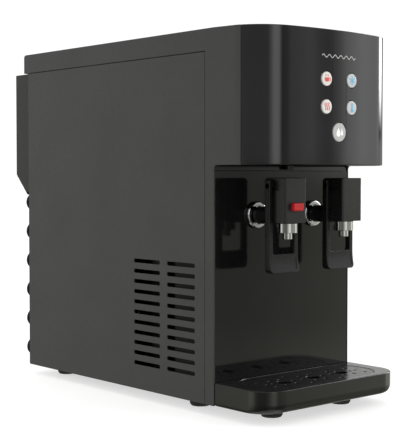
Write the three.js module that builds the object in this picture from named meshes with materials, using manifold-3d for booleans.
// Countertop hot and cold water dispenser.
// Millimetres, +Z up, +X to the machine's right as seen from the front, front facing -Y.
// Inside the group y = 0 is the plane of the lower front panel and z = 0 is the worktop.

import * as THREE from 'three';
import { mergeVertices } from 'three/addons/utils/BufferGeometryUtils.js';
import Module from 'manifold-3d';

const wasm = await Module();
wasm.setup();

// ---------------------------------------------------------------- driving dimensions

const GAP = 0.3; // clearance between neighbouring pieces
const CREVICE = 0.4; // clearance between folded sheets
const WALL = 3; // moulded wall thickness
const SHEET = 1.6; // folded sheet thickness

const FOOT_HEIGHT = 12;
const CASE_HALF = 105.8; // half width of the casing
const CASE_BOTTOM = FOOT_HEIGHT;
const CASE_TOP = 412;
const SIDE_REAR = 360.4; // rear edge of the side panels
const TOP_REAR = 370.2; // rear edge of the overhanging top cover
const TOP_SEAM = 388.3; // height of the seam under the top cover
const STRIP_FRONT = -0.4; // the front edge strips run from here
const STRIP_REAR = 14.2; // to here

const HEAD_BOTTOM = 267.6;
const HEAD_FRONT = -81; // centre of the bowed key panel
const HEAD_SPLIT = -40.4; // where the gloss fascia meets the top cover
const HEAD_BOW = 420; // plan radius of the bowed face
const HEAD_CORNER = 46; // plan radius of the head's corners
const HEAD_FALL = 2.1; // how far the head's top falls from the case to its front edge

const PAN_FLANGE = 24; // top of the pan's side flanges
const GUSSET_TOP = 162;
const GUSSET_REAR = 66;
const DRAIN = { x: -50, y: 95, radius: 5.4 };

const PANEL_THICK = 2.6;
const PANEL_TOP = 262;
const PANEL_STEP = 12; // height of the stepped edge that the panel hangs by
const HOOK = { x: 65, half: 5, bottom: 24, top: 28 }; // the tray hooks into the panel

const BOX_HALF = 101.8; // half width of the rear box
const BOX_REAR = 396.8;
const BOX_KNEE = 257.8; // where the rear face turns into the sloped underside
const NOTCH_REAR = 370.6;
const NOTCH_TOP = 235.4;

const TRAY_HALF = 105.2;
const TRAY_FRONT = -80.5;
const TRAY_REAR = -0.8;
const TRAY_TOP = 36.9;
const TRAY_CORNER = 28;
const TRAY_FOOT = { x: 54, y: -35 };
const GRILLE_HALF = 88;
const GRILLE_FRONT = -72;
const GRILLE_REAR = -4;
const GRILLE_CORNER = 30;
const GRILLE_SEAT = 34;
const BASIN_FLOOR = 18;

const TAP_SPACING = 88.4;
const TAP_AXIS_Z = 213.8; // shank height
const TAP_BODY = { half: 15.8, front: -61, rear: -32, bottom: 206.5, top: 254, corner: 2.5 };
const SHANK_RADIUS = 6;
const COLLAR_RADIUS = 14.8;
const COLLAR_DEPTH = 3.9;
const NECK_RADIUS = 9.5; // between the tap body and its collar
const NOZZLE_Y = -48;
const PIVOT = { y: -40, z: 246, bore: 2.3 };
const LEVER = { half: 21.6, top: 252.6, bottom: 153.2, sill: 173.2, rear: -36, front: -43, lip: -46 };
const LOCK = { half: 7.2, z: 223.7, rise: 4.1 };

const COIL_Y = 367; // plane of the condenser tube
const COIL_PITCH = 18.85;
const COIL_RUNS = 12;
const COIL_BOTTOM = 24.4;
const COIL_TUBE = 2.5;

const KEY_FACE = HEAD_FRONT - 0.8; // the keys stand proud of the fascia
const DEPTH_CENTRE = (KEY_FACE + BOX_REAR) / 2;

// ---------------------------------------------------------------- finishes

const FINISHES = {
  casing: { color: 0x4a4948, roughness: 0.55, metalness: 0 },
  gloss: { color: 0x0d0d0e, roughness: 0.08, metalness: 0 },
  black: { color: 0x1d1d1e, roughness: 0.4, metalness: 0 },
  chrome: { color: 0xd8d8da, roughness: 0.12, metalness: 1 },
  steel: { color: 0xa9acae, roughness: 0.35, metalness: 1 },
  rubber: { color: 0x191919, roughness: 0.85, metalness: 0 },
  red: { color: 0xc4161c, roughness: 0.35, metalness: 0 },
  key: { color: 0xe4e4e2, roughness: 0.4, metalness: 0 },
  foam: { color: 0xe9e6da, roughness: 0.9, metalness: 0 },
  board: { color: 0x1d5a35, roughness: 0.5, metalness: 0 },
  hose: { color: 0xc9d2d6, roughness: 0.5, metalness: 0 },
  white: { color: 0xececea, roughness: 0.45, metalness: 0 },
};

const group = new THREE.Group();
group.name = 'water_dispenser';
const machine = new THREE.Group();
machine.position.y = -DEPTH_CENTRE;
group.add(machine);

function addPiece(name, shape, finish) {
  const geometry = shape.isBufferGeometry ? shape : toGeometry(shape);
  const mesh = new THREE.Mesh(geometry, new THREE.MeshStandardMaterial(FINISHES[finish]));
  mesh.name = name;
  machine.add(mesh);
}

// ---------------------------------------------------------------- solids

function toSolid(geometry) {
  const bare = geometry.clone();
  bare.deleteAttribute('normal');
  bare.deleteAttribute('uv');
  const merged = mergeVertices(bare, 1e-4);
  return new wasm.Manifold(new wasm.Mesh({
    numProp: 3,
    vertProperties: merged.attributes.position.array,
    triVerts: Uint32Array.from(merged.index.array),
  }));
}

function toGeometry(solid) {
  const mesh = solid.getMesh();
  const geometry = new THREE.BufferGeometry();
  geometry.setAttribute('position', new THREE.BufferAttribute(mesh.vertProperties, 3));
  geometry.setIndex(new THREE.BufferAttribute(mesh.triVerts, 1));
  geometry.computeVertexNormals();
  return geometry;
}

function join(first, ...others) {
  return others.reduce((whole, part) => whole.add(part), first);
}

function cut(first, ...cutters) {
  return cutters.reduce((whole, cutter) => whole.subtract(cutter), first);
}

function block(x0, x1, y0, y1, z0, z1) {
  const geometry = new THREE.BoxGeometry(x1 - x0, y1 - y0, z1 - z0);
  geometry.translate((x0 + x1) / 2, (y0 + y1) / 2, (z0 + z1) / 2);
  return toSolid(geometry);
}

function rod(from, to, radius, segments = 16) {
  const start = new THREE.Vector3(...from);
  const end = new THREE.Vector3(...to);
  const along = end.clone().sub(start);
  const geometry = new THREE.CylinderGeometry(radius, radius, along.length(), segments);
  geometry.applyQuaternion(new THREE.Quaternion().setFromUnitVectors(
    new THREE.Vector3(0, 1, 0), along.clone().normalize()));
  const middle = start.add(end).multiplyScalar(0.5);
  geometry.translate(middle.x, middle.y, middle.z);
  return toSolid(geometry);
}

// A plan outline in x and y, raised from z0 to z1.
function raise(outline, z0, z1, curveSegments = 5) {
  const geometry = new THREE.ExtrudeGeometry(outline, {
    depth: z1 - z0, bevelEnabled: false, curveSegments,
  });
  geometry.translate(0, 0, z0);
  return toSolid(geometry);
}

// A plan outline with rounded lower and upper edges.
function raiseRounded(outline, z0, z1, radius, curveSegments = 5) {
  const geometry = new THREE.ExtrudeGeometry(outline, {
    depth: z1 - z0 - 2 * radius,
    bevelThickness: radius,
    bevelSize: radius,
    bevelOffset: -radius,
    bevelSegments: 2,
    curveSegments,
  });
  geometry.translate(0, 0, z0 + radius);
  return toSolid(geometry);
}

// A side profile whose points are (y, z), carried across from x0 to x1.
function carryAcross(profile, x0, x1, curveSegments = 4) {
  const geometry = new THREE.ExtrudeGeometry(profile, {
    depth: x1 - x0, bevelEnabled: false, curveSegments,
  });
  geometry.applyMatrix4(new THREE.Matrix4().makeBasis(
    new THREE.Vector3(0, 1, 0), new THREE.Vector3(0, 0, 1), new THREE.Vector3(1, 0, 0)));
  geometry.translate(x0, 0, 0);
  return toSolid(geometry);
}

// A front outline whose points are (x, z), carried forward from y1 to y0.
function carryForward(outline, y0, y1, curveSegments = 4) {
  const geometry = new THREE.ExtrudeGeometry(outline, {
    depth: y1 - y0, bevelEnabled: false, curveSegments,
  });
  geometry.applyMatrix4(new THREE.Matrix4().makeBasis(
    new THREE.Vector3(1, 0, 0), new THREE.Vector3(0, 0, 1), new THREE.Vector3(0, -1, 0)));
  geometry.translate(0, y1, 0);
  return toSolid(geometry);
}

// A turned piece about a vertical axis; the profile holds [radius, z] points.
function turned(profile, x, y, segments = 20) {
  const points = profile.map(([radius, z]) => new THREE.Vector2(radius, z));
  const geometry = new THREE.LatheGeometry(points, segments);
  geometry.rotateX(Math.PI / 2);
  geometry.translate(x, y, 0);
  return toSolid(geometry);
}

// A round bar that follows a list of points.
class PointPath extends THREE.Curve {
  constructor(points) {
    super();
    this.points = points;
  }

  getPoint(t, target = new THREE.Vector3()) {
    const place = t * (this.points.length - 1);
    const index = Math.min(Math.floor(place), this.points.length - 2);
    return target.lerpVectors(this.points[index], this.points[index + 1], place - index);
  }

  getUtoTmapping(u) {
    return u;
  }
}

function bar(points, radius, sides) {
  const section = new THREE.Shape();
  for (let i = 0; i < sides; i += 1) {
    const angle = (2 * Math.PI * i) / sides;
    const place = [radius * Math.cos(angle), radius * Math.sin(angle)];
    if (i === 0) section.moveTo(...place);
    else section.lineTo(...place);
  }
  return toSolid(new THREE.ExtrudeGeometry(section, {
    steps: points.length - 1, extrudePath: new PointPath(points),
  }));
}

function polygon(points) {
  return new THREE.Shape(points.map(([a, b]) => new THREE.Vector2(a, b)));
}

function roundedRectangle(x0, x1, y0, y1, radius) {
  const shape = new THREE.Shape();
  shape.moveTo(x1, y0 + radius);
  shape.lineTo(x1, y1 - radius);
  shape.absarc(x1 - radius, y1 - radius, radius, 0, Math.PI / 2);
  shape.lineTo(x0 + radius, y1);
  shape.absarc(x0 + radius, y1 - radius, radius, Math.PI / 2, Math.PI);
  shape.lineTo(x0, y0 + radius);
  shape.absarc(x0 + radius, y0 + radius, radius, Math.PI, 1.5 * Math.PI);
  shape.lineTo(x1 - radius, y0);
  shape.absarc(x1 - radius, y0 + radius, radius, 1.5 * Math.PI, 2 * Math.PI);
  return shape;
}

// ---------------------------------------------------------------- casing

// Plan of the head and top cover: straight sides, round front corners and a bowed front.
function headPlan(inset, rear) {
  const corner = HEAD_CORNER - inset;
  const cornerX = CASE_HALF - HEAD_CORNER;
  const bowCentre = HEAD_FRONT + HEAD_BOW;
  const cornerY = bowCentre - Math.sqrt((HEAD_BOW - HEAD_CORNER) ** 2 - cornerX ** 2);
  const meet = Math.asin(cornerX / (HEAD_BOW - HEAD_CORNER));
  const side = CASE_HALF - inset;
  const shape = new THREE.Shape();
  shape.moveTo(side, cornerY);
  shape.lineTo(side, rear);
  shape.lineTo(-side, rear);
  shape.lineTo(-side, cornerY);
  shape.absarc(-cornerX, cornerY, corner, Math.PI, 1.5 * Math.PI - meet);
  shape.absarc(0, bowCentre, HEAD_BOW - inset, 1.5 * Math.PI - meet, 1.5 * Math.PI + meet);
  shape.absarc(cornerX, cornerY, corner, 1.5 * Math.PI + meet, 2 * Math.PI);
  return shape;
}

// Height of the head's gently falling top at a depth y, less a wall thickness.
function headTop(y, thickness = 0) {
  return CASE_TOP - thickness - (HEAD_FALL * y) / HEAD_FRONT;
}

// A folded pan: a floor, a low flange along each side and a tall gusset at each front corner.
function addBase() {
  const floor = CASE_BOTTOM + GAP;
  const front = STRIP_REAR + CREVICE;
  const rear = SIDE_REAR - SHEET - GAP;
  const outer = CASE_HALF - SHEET - CREVICE;
  const inner = outer - SHEET;
  const tongue = outer - CREVICE;
  const parts = [
    block(-outer, outer, front, rear, floor, floor + SHEET),
    block(-tongue, tongue, WALL, front + 1, floor, floor + SHEET),
  ];
  for (const side of [[-outer, -inner], [inner, outer]]) {
    parts.push(block(...side, front, rear, floor, PAN_FLANGE));
    parts.push(block(...side, front, GUSSET_REAR, floor, GUSSET_TOP));
  }
  const drain = rod([DRAIN.x, DRAIN.y, floor - 1], [DRAIN.x, DRAIN.y, floor + 3], DRAIN.radius);
  addPiece('base_pan', cut(join(...parts), drain), 'black');
}

function addFoot(name, x, y, top) {
  addPiece(name, turned([
    [0, 2], [4, 2], [4, 0], [10.6, 0], [12, 2.2], [12, top - 1.5], [11, top], [0, top],
  ], x, y), 'rubber');
}

const FRONT_FOOT = { x: 72, y: 60 };
const REAR_FOOT = { x: 69, y: 328 };

function addFeet() {
  for (const [side, sign] of [['left', -1], ['right', 1]]) {
    addFoot(`foot_front_${side}`, sign * FRONT_FOOT.x, FRONT_FOOT.y, FOOT_HEIGHT);
    addFoot(`foot_rear_${side}`, sign * REAR_FOOT.x, REAR_FOOT.y, FOOT_HEIGHT);
    addFoot(`tray_foot_${side}`, sign * TRAY_FOOT.x, TRAY_FOOT.y, FOOT_HEIGHT - GAP);
  }
}

const VENT = {
  rows: 11,
  pitch: 11.71,
  bottom: 42.3, // centre of the lowest row
  height: 4.5,
  columns: [[30.5, 77.9], [90.4, 137.7]],
};

function addSidePanel(name, sign) {
  const middle = sign * (CASE_HALF - SHEET / 2);
  const sheet = [middle - SHEET / 2, middle + SHEET / 2];
  const slots = [];
  for (const [y0, y1] of VENT.columns) {
    for (let row = 0; row < VENT.rows; row += 1) {
      const z = VENT.bottom + row * VENT.pitch;
      slots.push(block(middle - 3, middle + 3, y0, y1, z - VENT.height / 2, z + VENT.height / 2));
    }
  }
  const panel = block(...sheet, STRIP_REAR + GAP, SIDE_REAR, CASE_BOTTOM, TOP_SEAM - GAP);
  addPiece(name, cut(panel, ...slots), 'casing');
}

function addTopShell() {
  const edge = HEAD_SPLIT + GAP / 2;
  const round = 4;
  const profile = new THREE.Shape();
  profile.moveTo(edge, HEAD_BOTTOM);
  profile.lineTo(STRIP_FRONT, HEAD_BOTTOM);
  profile.lineTo(STRIP_FRONT, CASE_BOTTOM);
  profile.lineTo(STRIP_REAR, CASE_BOTTOM);
  profile.lineTo(STRIP_REAR, TOP_SEAM);
  profile.lineTo(TOP_REAR, TOP_SEAM);
  profile.lineTo(TOP_REAR, CASE_TOP - round);
  profile.absarc(TOP_REAR - round, CASE_TOP - round, round, 0, Math.PI / 2);
  profile.lineTo(0, CASE_TOP);
  profile.lineTo(edge, headTop(edge));
  const outside = carryAcross(profile, -CASE_HALF, CASE_HALF)
    .intersect(raise(headPlan(0, TOP_REAR + 1), 0, CASE_TOP + 1));
  const rear = TOP_REAR - WALL;
  const ahead = edge - 1;
  const hollow = carryAcross(polygon([
    [ahead, 0], [rear, 0], [rear, CASE_TOP - WALL], [0, CASE_TOP - WALL], [ahead, headTop(ahead, WALL)],
  ]), -CASE_HALF, CASE_HALF).intersect(raise(headPlan(WALL, rear), -1, CASE_TOP));
  const stripInside = CASE_HALF - SHEET;
  const betweenStrips = block(-stripInside, stripInside, STRIP_FRONT - 1, STRIP_REAR + 1, 0, HEAD_BOTTOM);
  addPiece('top_shell', cut(outside, hollow, betweenStrips), 'casing');
}

const LOUVRE = { x: 48, half: 34, rows: 6, bottom: 60, height: 6 };

function addRearPanel() {
  const half = CASE_HALF - SHEET - GAP;
  const sheet = block(-half, half, SIDE_REAR - SHEET, SIDE_REAR, CASE_BOTTOM + GAP, TOP_SEAM - GAP);
  const slots = [];
  for (const x of [-LOUVRE.x, LOUVRE.x]) {
    for (let row = 0; row < LOUVRE.rows; row += 1) {
      const z = LOUVRE.bottom + row * COIL_PITCH;
      slots.push(block(
        x - LOUVRE.half, x + LOUVRE.half, SIDE_REAR - 5, SIDE_REAR + 5, z, z + LOUVRE.height));
    }
  }
  addPiece('rear_panel', cut(sheet, ...slots), 'steel');
}

const INLET_SLOPE = { x: 60, y: 383.7, z: 244.7 };
const MAINS = { left: -60, right: -12, bottom: 320, top: 348 };

// A point at a distance along the outward normal of the rear box's sloped underside.
function alongSlope(distance) {
  const step = distance * Math.SQRT1_2;
  return [INLET_SLOPE.x, INLET_SLOPE.y + step, INLET_SLOPE.z - step];
}

function addRearBox() {
  const front = SIDE_REAR + GAP;
  const top = TOP_SEAM - GAP;
  const foot = BOX_KNEE - (BOX_REAR - NOTCH_REAR);
  const wall = 2.5;
  const outside = polygon([
    [front, top], [front, NOTCH_TOP], [NOTCH_REAR, NOTCH_TOP], [NOTCH_REAR, foot],
    [BOX_REAR, BOX_KNEE], [BOX_REAR, top],
  ]);
  const inside = polygon([
    [front - 1, top - wall], [front - 1, NOTCH_TOP - 1], [NOTCH_REAR - wall, NOTCH_TOP - 1],
    [NOTCH_REAR, foot + Math.SQRT2 * wall], [BOX_REAR - wall, BOX_KNEE + wall / 2],
    [BOX_REAR - wall, top - wall],
  ]);
  addPiece('rear_box', cut(
    carryAcross(outside, -BOX_HALF, BOX_HALF),
    carryAcross(inside, -BOX_HALF + wall, BOX_HALF - wall),
    block(
      MAINS.left - GAP, MAINS.right + GAP, BOX_REAR - 5, BOX_REAR + 1, MAINS.bottom - GAP, MAINS.top + GAP),
    rod(alongSlope(-8), alongSlope(6), 6.4),
  ), 'casing');
}

function addFrontPanel() {
  const half = CASE_HALF - SHEET - GAP;
  const panel = block(-half, half, 0, PANEL_THICK, CASE_BOTTOM + GAP, PANEL_TOP);
  const step = block(-half, half, 1, 2 * PANEL_THICK, PANEL_TOP - PANEL_STEP, HEAD_BOTTOM - GAP);
  const openings = [];
  for (const sign of [-1, 1]) {
    const x = (sign * TAP_SPACING) / 2;
    const hook = sign * HOOK.x;
    const reach = HOOK.half + CREVICE;
    openings.push(rod([x, -1, TAP_AXIS_Z], [x, WALL, TAP_AXIS_Z], SHANK_RADIUS + CREVICE));
    openings.push(block(hook - reach, hook + reach, -1, WALL, HOOK.bottom - CREVICE, HOOK.top + CREVICE));
  }
  addPiece('front_panel', cut(join(panel, step), ...openings), 'gloss');
}

// ---------------------------------------------------------------- head and keys

const KEYS = [
  { name: 'key_hot', x: -19.4, z: 357.8, radius: 7.4 },
  { name: 'key_cold', x: 19.4, z: 357.8, radius: 7.4 },
  { name: 'key_heating', x: -19.4, z: 328.8, radius: 7.4 },
  { name: 'key_cooling', x: 19.4, z: 328.8, radius: 7.4 },
  { name: 'key_dispense', x: 0, z: 302.3, radius: 9.9 },
];
const KEY_FLANGE = -76.8;
const KEY_REAR = -73;
const KEY_RIM = 1.5; // the flange behind the fascia is this much wider than the cap

function addHead() {
  const split = HEAD_SPLIT - GAP / 2;
  const ahead = -120;
  const outside = carryAcross(polygon([
    [ahead, HEAD_BOTTOM], [split, HEAD_BOTTOM], [split, headTop(split)], [ahead, headTop(ahead)],
  ]), -CASE_HALF - 1, CASE_HALF + 1).intersect(raise(headPlan(0, 20), 0, CASE_TOP));
  const hollow = carryAcross(polygon([
    [ahead, 0], [split + 1, 0], [split + 1, headTop(split + 1, WALL)], [ahead, headTop(ahead, WALL)],
  ]), -CASE_HALF, CASE_HALF).intersect(raise(headPlan(WALL, 30), 0, CASE_TOP));
  const holes = KEYS.map(({ x, z, radius }) => (
    rod([x, HEAD_FRONT - 2, z], [x, KEY_REAR + WALL, z], radius + GAP, 16)));
  addPiece('head_fascia', cut(outside, hollow, ...holes), 'gloss');

  const plate = raise(headPlan(WALL + GAP, 12), HEAD_BOTTOM, HEAD_BOTTOM + 2.5);
  const clip = block(-1, 9, -6, -1, HEAD_BOTTOM - 4.5, HEAD_BOTTOM + 1);
  addPiece('head_base', join(plate, clip), 'black');
}

function addKeys() {
  for (const { name, x, z, radius } of KEYS) {
    const cap = rod([x, KEY_FACE, z], [x, KEY_FLANGE + 0.5, z], radius, 16);
    const flange = rod([x, KEY_FLANGE, z], [x, KEY_FLANGE + 1, z], radius + KEY_RIM, 12);
    const stem = rod([x, KEY_FLANGE, z], [x, KEY_REAR, z], 2.5, 10);
    addPiece(name, join(cap, flange, stem), 'key');
  }
  const board = block(-36, 36, -71.8, -70.2, 288, 372);
  const parts = block(-20, 20, -70.6, -64, 296, 318);
  addPiece('display_board', join(board, parts), 'board');
}

// ---------------------------------------------------------------- taps

function addCollar(name, x) {
  const bore = SHANK_RADIUS + 2 * GAP;
  const profile = [
    [bore, 0], [COLLAR_RADIUS, 0], [COLLAR_RADIUS, 2.4], [COLLAR_RADIUS - 1.8, COLLAR_DEPTH],
    [bore, COLLAR_DEPTH], [bore, 0],
  ];
  const points = profile.map(([radius, depth]) => new THREE.Vector2(radius, depth));
  const geometry = new THREE.LatheGeometry(points, 24);
  geometry.rotateX(Math.PI);
  geometry.translate(x, -GAP, TAP_AXIS_Z);
  addPiece(name, toSolid(geometry), 'chrome');
}

function addTapBody(name, x, hasLock) {
  const { half, front, rear, bottom, top, corner } = TAP_BODY;
  const shell = raise(roundedRectangle(x - half, x + half, front, rear, corner), bottom, top, 3);
  const shank = rod([x, rear - 1, TAP_AXIS_Z], [x, 26, TAP_AXIS_Z], SHANK_RADIUS);
  const neck = rod([x, rear - 1, TAP_AXIS_Z], [x, -COLLAR_DEPTH - 2 * GAP, TAP_AXIS_Z], NECK_RADIUS, 20);
  const passages = [
    rod([x, NOZZLE_Y, TAP_AXIS_Z], [x, 27, TAP_AXIS_Z], 3.5, 12),
    rod([x, NOZZLE_Y, 209], [x, NOZZLE_Y, 240], 5.5),
    rod([x, NOZZLE_Y, 206], [x, NOZZLE_Y, 210], 4, 12),
    block(x - 4, x + 4, -52, -36, 238, 249.5),
    rod([x - half - 1, PIVOT.y, PIVOT.z], [x + half + 1, PIVOT.y, PIVOT.z], PIVOT.bore, 12),
  ];
  for (const sign of [-1, 1]) {
    const outer = x + sign * (half + 1);
    const inner = x + sign * (half - 1.4);
    passages.push(block(Math.min(outer, inner), Math.max(outer, inner), -53, -36, 240.8, 251.5));
  }
  if (hasLock) {
    const reach = LOCK.half + GAP;
    const rise = LOCK.rise + GAP;
    passages.push(block(x - reach, x + reach, front - 1, -54.7, LOCK.z - rise, LOCK.z + rise));
  }
  addPiece(name, cut(join(shell, neck, shank), ...passages), 'black');
}

function addNut(name, x) {
  const from = [x, PANEL_THICK + GAP, TAP_AXIS_Z];
  const to = [x, PANEL_THICK + GAP + 6, TAP_AXIS_Z];
  const bore = rod([x, 0, TAP_AXIS_Z], [x, 12, TAP_AXIS_Z], SHANK_RADIUS + GAP);
  addPiece(name, cut(rod(from, to, 11, 6), bore), 'steel');
}

function addNozzle(name, x) {
  addPiece(name, turned([
    [2.8, 189.2], [5.4, 189.2], [5.4, 195.9], [11, 195.9], [11, 206.2], [6, 206.2], [6, 198], [2.8, 198],
    [2.8, 189.2],
  ], x, NOZZLE_Y, 18), 'chrome');
}

// A yoke over the tap body that carries a paddle below the nozzle.
function addLever(name, x) {
  const inner = TAP_BODY.half + CREVICE;
  const corner = 5;
  const { half, top, bottom, sill, rear, front, lip } = LEVER;
  const frame = roundedRectangle(x - half, x + half, bottom, top + corner, corner);
  frame.holes.push(new THREE.Path(polygon([
    [x - inner, sill], [x + inner, sill], [x + inner, top + 1], [x - inner, top + 1],
  ]).getPoints()));
  const side = polygon([[rear, top], [rear, bottom], [lip, bottom], [front, bottom + 11], [front, top]]);
  const yoke = carryForward(frame, lip - 2, rear + 2, 3)
    .intersect(carryAcross(side, x - half - 1, x + half + 1));
  const reach = half + 1;
  const pinHole = rod([x - reach, PIVOT.y, PIVOT.z], [x + reach, PIVOT.y, PIVOT.z], PIVOT.bore, 12);
  addPiece(name, cut(yoke, pinHole), 'black');
}

function addPin(name, x) {
  const end = LEVER.half - GAP;
  const pin = rod([x - end, PIVOT.y, PIVOT.z], [x + end, PIVOT.y, PIVOT.z], 2, 12);
  const finger = block(x - 2.8, x + 2.8, -49.5, PIVOT.y, 241.6, 247);
  addPiece(name, join(pin, finger), 'steel');
}

function addPlunger(name, x) {
  addPiece(name, turned([
    [0, 202], [4, 202], [5, 203], [5, 205.4], [4.4, 206.2], [1.8, 206.2], [1.8, 226], [4.6, 226],
    [4.6, 228], [1.8, 228], [1.8, 241.3], [0, 241.3],
  ], x, NOZZLE_Y, 10), 'white');
}

// A coil of wire between two heights about a vertical axis.
function verticalCoil(x, y, z0, z1, radius, turns) {
  const steps = turns * 8;
  const points = [];
  for (let i = 0; i <= steps; i += 1) {
    const angle = (2 * Math.PI * i) / 8;
    points.push(new THREE.Vector3(
      x + radius * Math.cos(angle), y + radius * Math.sin(angle), z0 + ((z1 - z0) * i) / steps));
  }
  return points;
}

function addTap(prefix, sign) {
  const x = (sign * TAP_SPACING) / 2;
  addCollar(`${prefix}_collar`, x);
  addTapBody(`${prefix}_tap_body`, x, prefix === 'hot');
  addNut(`${prefix}_tap_nut`, x);
  addNozzle(`${prefix}_nozzle`, x);
  addLever(`${prefix}_lever`, x);
  addPin(`${prefix}_lever_pin`, x);
  addPlunger(`${prefix}_plunger`, x);
  addPiece(`${prefix}_plunger_spring`, bar(verticalCoil(x, NOZZLE_Y, 210, 225, 3.4, 4), 0.6, 4), 'steel');
}

function addHotLock() {
  const x = -TAP_SPACING / 2;
  const { half, z, rise } = LOCK;
  const button = block(x - half, x + half, -66, -58.3, z - rise, z + rise);
  const recess = rod([x, -63.5, z], [x, -58, z], 3, 12);
  addPiece('hot_lock_button', cut(button, recess), 'red');
  const points = verticalCoil(0, 0, -62.6, -55.6, 2, 3).map((p) => new THREE.Vector3(x + p.x, p.z, z - p.y));
  addPiece('hot_lock_spring', bar(points, 0.4, 4), 'steel');
}

// ---------------------------------------------------------------- drip tray

function trayPlan(inset) {
  const shape = new THREE.Shape();
  const half = TRAY_HALF - inset;
  const front = TRAY_FRONT + inset;
  const rear = TRAY_REAR - inset;
  const corner = TRAY_CORNER - inset;
  shape.moveTo(half, front + corner);
  shape.lineTo(half, rear);
  shape.lineTo(-half, rear);
  shape.lineTo(-half, front + corner);
  shape.absarc(-half + corner, front + corner, corner, Math.PI, 1.5 * Math.PI);
  shape.lineTo(half - corner, front);
  shape.absarc(half - corner, front + corner, corner, 1.5 * Math.PI, 2 * Math.PI);
  return shape;
}

function grillePlan(grow) {
  const half = GRILLE_HALF + grow;
  return roundedRectangle(-half, half, GRILLE_FRONT - grow, GRILLE_REAR + grow, GRILLE_CORNER + grow);
}

function addTray() {
  const outside = raise(trayPlan(0), 16, TRAY_TOP);
  const round = 11;
  const nose = new THREE.Shape();
  nose.moveTo(TRAY_FRONT, TRAY_TOP);
  nose.lineTo(TRAY_FRONT, CASE_BOTTOM + round);
  nose.absarc(TRAY_FRONT + round, CASE_BOTTOM + round, round, Math.PI, 1.5 * Math.PI);
  nose.lineTo(0, CASE_BOTTOM);
  nose.lineTo(0, TRAY_TOP);
  const taper = raiseRounded(trayPlan(0), CASE_BOTTOM, TRAY_TOP + 20, 3)
    .intersect(carryAcross(nose, -TRAY_HALF, TRAY_HALF));
  const skirt = outside.add(raise(trayPlan(4), CASE_BOTTOM, 17)).intersect(taper);
  const underside = raise(trayPlan(WALL + 4), CASE_BOTTOM - 1, 17)
    .add(raise(trayPlan(WALL), 17, TRAY_TOP - WALL));
  const basin = raise(grillePlan(1.2), BASIN_FLOOR - WALL, TRAY_TOP - 1);
  const bosses = [];
  for (const sign of [-1, 1]) {
    const foot = [sign * TRAY_FOOT.x, TRAY_FOOT.y];
    const hook = sign * HOOK.x;
    bosses.push(rod([...foot, CASE_BOTTOM], [...foot, BASIN_FLOOR - 1], 11));
    bosses.push(block(hook - HOOK.half, hook + HOOK.half, -4, 8, HOOK.bottom, HOOK.top));
  }
  const shell = join(cut(skirt, underside), basin, ...bosses);
  addPiece('tray_shell', cut(
    shell,
    raise(grillePlan(-3), BASIN_FLOOR, TRAY_TOP + 1),
    raise(grillePlan(GAP), GRILLE_SEAT, TRAY_TOP + 1),
  ), 'black');
}

// Three large holes, each inside a ring of six small ones.
function addGrille() {
  const plate = grillePlan(0);
  const y = -44;
  const ring = 15;
  for (const x of [-45, 0, 45]) {
    plate.holes.push(new THREE.Path().absarc(x, y, 7.5, 0, 2 * Math.PI));
    for (let i = 0; i < 6; i += 1) {
      const angle = (Math.PI * (2 * i + 1)) / 6;
      const centre = [x + ring * Math.cos(angle), y + ring * Math.sin(angle)];
      plate.holes.push(new THREE.Path().absarc(...centre, 2.4, 0, 2 * Math.PI));
    }
  }
  addPiece('drip_grille', raise(plate, GRILLE_SEAT + GAP, TRAY_TOP - GAP, 4), 'black');
}

// ---------------------------------------------------------------- condenser

function serpentine() {
  const points = [];
  const bend = COIL_PITCH / 2;
  const reach = CASE_HALF - 0.6 - COIL_TUBE - bend;
  let side = -1;
  for (let run = 0; run < COIL_RUNS; run += 1) {
    const z = COIL_BOTTOM + run * COIL_PITCH;
    points.push(new THREE.Vector3(-side * reach, COIL_Y, z));
    points.push(new THREE.Vector3(side * reach, COIL_Y, z));
    if (run < COIL_RUNS - 1) {
      for (let step = 1; step < 5; step += 1) {
        const angle = (Math.PI * step) / 5;
        points.push(new THREE.Vector3(
          side * (reach + bend * Math.sin(angle)), COIL_Y, z + bend - bend * Math.cos(angle)));
      }
    }
    side = -side;
  }
  return points;
}

function addCondenser() {
  const straps = [-50, 50].map((x) => (
    block(x - 5, x + 5, COIL_Y - 3, COIL_Y - 1.5, COIL_BOTTOM - 6, NOTCH_TOP - 1)));
  addPiece('condenser', join(bar(serpentine(), COIL_TUBE, 6), ...straps), 'black');
}

// ---------------------------------------------------------------- inside the casing

const TANK = { x: 50, y: 95 };

function addTank(prefix, sign) {
  const x = sign * TANK.x;
  addPiece(`${prefix}_jacket`, turned([
    [0, 14.2], [49, 14.2], [49, 214], [40.5, 214], [40.5, 23.5], [0, 23.5],
  ], x, TANK.y, 20), 'foam');
  addPiece(`${prefix}_tank`, turned([
    [0, 23.8], [34, 23.8], [40, 30], [40, 198], [34, 204], [5, 204], [5, 212], [3.8, 212], [3.8, 202.8],
    [33.5, 202.8], [38.8, 197.5], [38.8, 30.5], [33.5, 25], [0, 25],
  ], x, TANK.y, 20), 'steel');
}

function addHose(prefix, sign) {
  const x = (sign * TAP_SPACING) / 2;
  const tankX = sign * TANK.x;
  const route = new THREE.CatmullRomCurve3([
    [x, 26.4, TAP_AXIS_Z], [x, 36, TAP_AXIS_Z], [x, 52, 226], [tankX, 72, 238], [tankX, 89, 234],
    [tankX, TANK.y, 222], [tankX, TANK.y, 212.4],
  ].map((place) => new THREE.Vector3(...place)));
  addPiece(`${prefix}_hose`, bar(route.getPoints(14), 4, 6), 'hose');
}

const FILTER = { x: 29, y: 178 };

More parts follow.
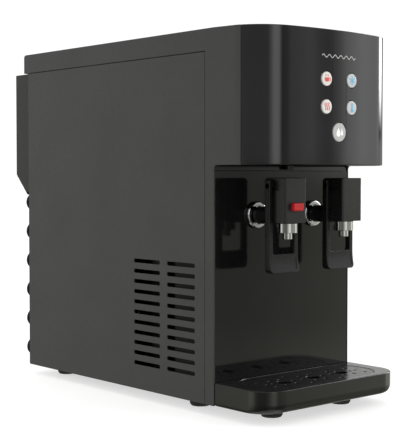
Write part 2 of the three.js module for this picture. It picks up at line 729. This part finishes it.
function addFilters() {
  for (const [side, sign] of [['left', -1], ['right', 1]]) {
    addPiece(`filter_${side}`, turned([
      [0, 14.2], [22, 14.2], [25, 20], [25, 236], [22, 242], [8, 242], [8, 250], [0, 250],
    ], sign * FILTER.x, FILTER.y, 20), 'white');
  }
  addPiece('filter_manifold', join(
    block(-56, 56, FILTER.y - 18, FILTER.y + 18, 250.3, 268),
    rod([40, 190, 259], [40, 206, 259], 5, 12),
    rod([-40, 190, 259], [-40, 206, 259], 5, 12),
  ), 'white');
}

const POT_Y = 290; // axis of the compressor

function addCompressor() {
  const mounts = [[-50, 246], [50, 246], [0, 342]];
  const plate = block(-62, 62, 236, 352, 24, 26);
  const shell = turned([
    [0, 25], [44, 25], [54, 40], [56, 84], [54, 132], [46, 148], [28, 156], [0, 158],
  ], 0, POT_Y, 20);
  const inside = turned([[0, 31], [38, 31], [50, 44], [50, 126], [42, 142], [0, 150]], 0, POT_Y, 16);
  const stub = rod([0, 240, 70], [0, 228, 70], 4, 10);
  const bore = rod([0, 250, 70], [0, 227, 70], 2.6, 8);
  addPiece('compressor', cut(join(plate, shell, stub), inside, bore), 'rubber');
  mounts.forEach(([x, y], index) => {
    addPiece(`compressor_grommet_${index + 1}`, turned([
      [0, 14.2], [8, 14.2], [8, 17], [6, 18.5], [6, 20], [8, 21.5], [8, 23.7], [0, 23.7],
    ], x, y, 12), 'rubber');
  });
}

function addElectrics() {
  const board = block(-100.6, -99, 236, 346, 190, 300);
  const relays = block(-99.4, -82, 250, 280, 210, 240);
  const transformer = block(-99.4, -76, 300, 336, 200, 236);
  addPiece('main_board', join(board, relays, transformer), 'board');

  const socket = join(
    block(MAINS.left, MAINS.right, BOX_REAR - 2.8, BOX_REAR - GAP, MAINS.bottom, MAINS.top),
    block(-50, -22, BOX_REAR - 24, BOX_REAR - 2, 324, 344),
  );
  addPiece('mains_inlet', cut(socket, block(-48, -24, BOX_REAR - 18, BOX_REAR, 326, 342)), 'black');
}

function addWaterInlet() {
  const valve = join(
    block(44, 76, 324, 358, 262, 290),
    rod([60, 341, 264], [60, 341, 240], 11, 14),
    rod([60, 326, 276], [60, 312, 276], 5, 12),
  );
  addPiece('inlet_valve', valve, 'white');
  addPiece('water_inlet_fitting', join(
    rod(alongSlope(-6), alongSlope(9), 6, 14),
    rod(alongSlope(GAP), alongSlope(3), 9, 14),
  ), 'white');
  addPiece('drain_cap', turned([
    [0, 6.5], [8, 6.5], [9, 7.5], [9, 12], [5, 12], [5, 13.9], [0, 13.9],
  ], DRAIN.x, DRAIN.y, 16), 'black');
}

addBase();
addFeet();
addSidePanel('side_panel_left', -1);
addSidePanel('side_panel_right', 1);
addTopShell();
addRearPanel();
addRearBox();
addFrontPanel();
addHead();
addKeys();
addTap('hot', -1);
addTap('cold', 1);
addHotLock();
addTray();
addGrille();
addCondenser();
addTank('hot', -1);
addTank('cold', 1);
addHose('hot', -1);
addHose('cold', 1);
addFilters();
addCompressor();
addElectrics();
addWaterInlet();

export default group;
